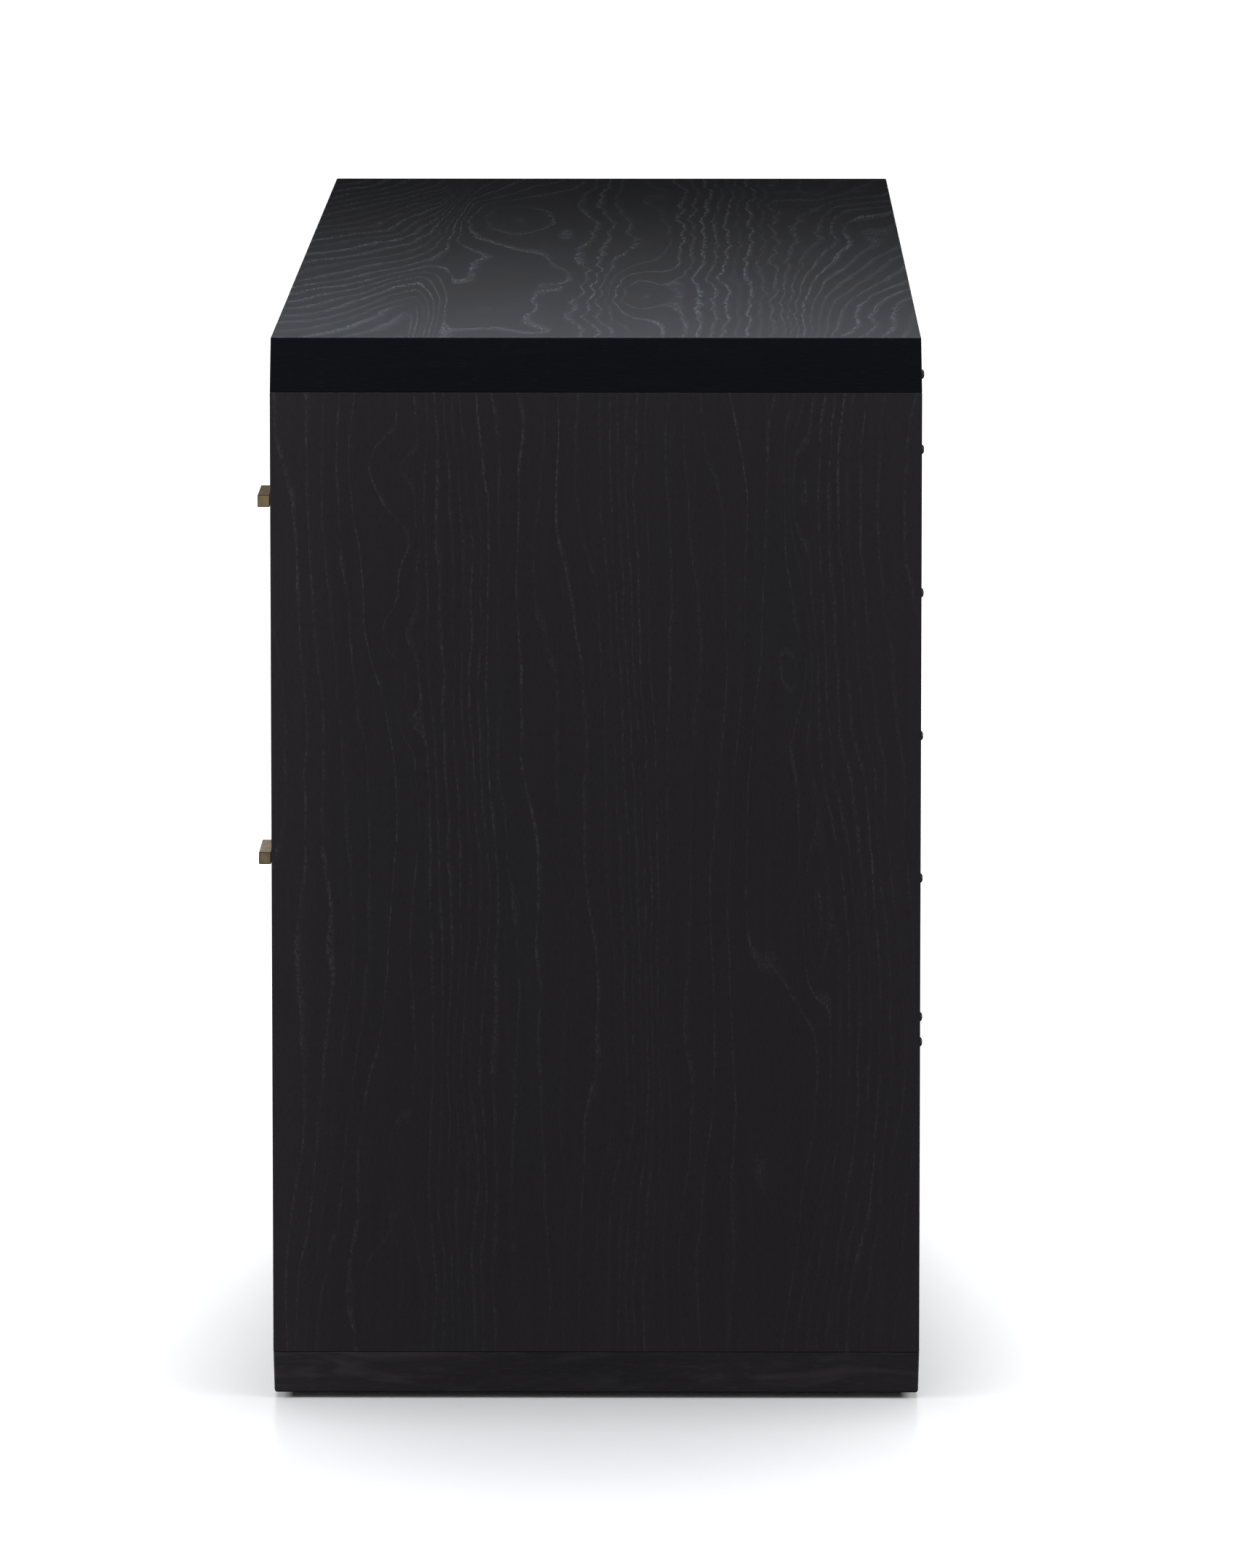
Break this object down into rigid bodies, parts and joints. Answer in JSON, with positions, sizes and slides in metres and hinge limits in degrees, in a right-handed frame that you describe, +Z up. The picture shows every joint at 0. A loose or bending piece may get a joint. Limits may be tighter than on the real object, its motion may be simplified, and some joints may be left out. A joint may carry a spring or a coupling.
{
  "type": "dresser",
  "caption": "Low wide dresser in black-stained oak: a flush box case with a thick top and base, inset drawers on side slides and short square brass bar pulls.",
  "frame": {"origin": "on the floor, under the centre of the object's bounding box", "axes": "+Z up, the drawer fronts face -Y, +X along the width to the right of someone facing the front"},
  "size_m": [1.574, 0.5066, 0.7965],
  "materials": {
    "black_oak": "black-stained oak veneer, satin lacquer, open vertical grain",
    "black_edge": "blue-black stained solid edge and slab, satin lacquer",
    "back_board": "thin black-painted board, matt",
    "drawer_wood": "clear lacquered light hardwood and plywood",
    "brass": "aged, brushed",
    "zinc_steel": "zinc plated",
    "nylon": "matt black"
  },
  "bodies": {
    "case": {"top_slab": "black_edge", "base_slab": "black_edge", "right_side_panel": "black_oak", "left_side_panel": "black_oak", "centre_divider": "black_oak", "left_rail": "black_oak", "right_rail": "black_oak", "back_panel": "back_board", "front_left_glide": "nylon", "front_right_glide": "nylon", "rear_left_glide": "nylon", "rear_right_glide": "nylon", "upper_left_channel_left": "zinc_steel", "upper_left_channel_right": "zinc_steel", "upper_right_channel_left": "zinc_steel", "upper_right_channel_right": "zinc_steel", "lower_left_channel_left": "zinc_steel", "lower_left_channel_right": "zinc_steel", "lower_right_channel_left": "zinc_steel", "lower_right_channel_right": "zinc_steel"},
    "upper_left_drawer": {"upper_left_front": "black_oak", "upper_left_box_front": "drawer_wood", "upper_left_box_left": "drawer_wood", "upper_left_box_right": "drawer_wood", "upper_left_box_back": "drawer_wood", "upper_left_box_bottom": "drawer_wood", "upper_left_pull_bar": "brass", "upper_left_pull_post": "brass", "upper_left_runner_left": "zinc_steel", "upper_left_runner_right": "zinc_steel"},
    "upper_right_drawer": {"upper_right_front": "black_oak", "upper_right_box_front": "drawer_wood", "upper_right_box_left": "drawer_wood", "upper_right_box_right": "drawer_wood", "upper_right_box_back": "drawer_wood", "upper_right_box_bottom": "drawer_wood", "upper_right_pull_bar": "brass", "upper_right_pull_post": "brass", "upper_right_runner_left": "zinc_steel", "upper_right_runner_right": "zinc_steel"},
    "lower_left_drawer": {"lower_left_front": "black_oak", "lower_left_box_front": "drawer_wood", "lower_left_box_left": "drawer_wood", "lower_left_box_right": "drawer_wood", "lower_left_box_back": "drawer_wood", "lower_left_box_bottom": "drawer_wood", "lower_left_pull_bar": "brass", "lower_left_pull_post": "brass", "lower_left_runner_left": "zinc_steel", "lower_left_runner_right": "zinc_steel"},
    "lower_right_drawer": {"lower_right_front": "black_oak", "lower_right_box_front": "drawer_wood", "lower_right_box_left": "drawer_wood", "lower_right_box_right": "drawer_wood", "lower_right_box_back": "drawer_wood", "lower_right_box_bottom": "drawer_wood", "lower_right_pull_bar": "brass", "lower_right_pull_post": "brass", "lower_right_runner_left": "zinc_steel", "lower_right_runner_right": "zinc_steel"}
  },
  "joints": [
    {"name": "upper_left_drawer_slide", "type": "slide", "parent": "case", "child": "upper_left_drawer", "axis": [0, -1, 0], "range_m": [0, 0.3]},
    {"name": "upper_right_drawer_slide", "type": "slide", "parent": "case", "child": "upper_right_drawer", "axis": [0, -1, 0], "range_m": [0, 0.3]},
    {"name": "lower_left_drawer_slide", "type": "slide", "parent": "case", "child": "lower_left_drawer", "axis": [0, -1, 0], "range_m": [0, 0.3]},
    {"name": "lower_right_drawer_slide", "type": "slide", "parent": "case", "child": "lower_right_drawer", "axis": [0, -1, 0], "range_m": [0, 0.3]}
  ]
}
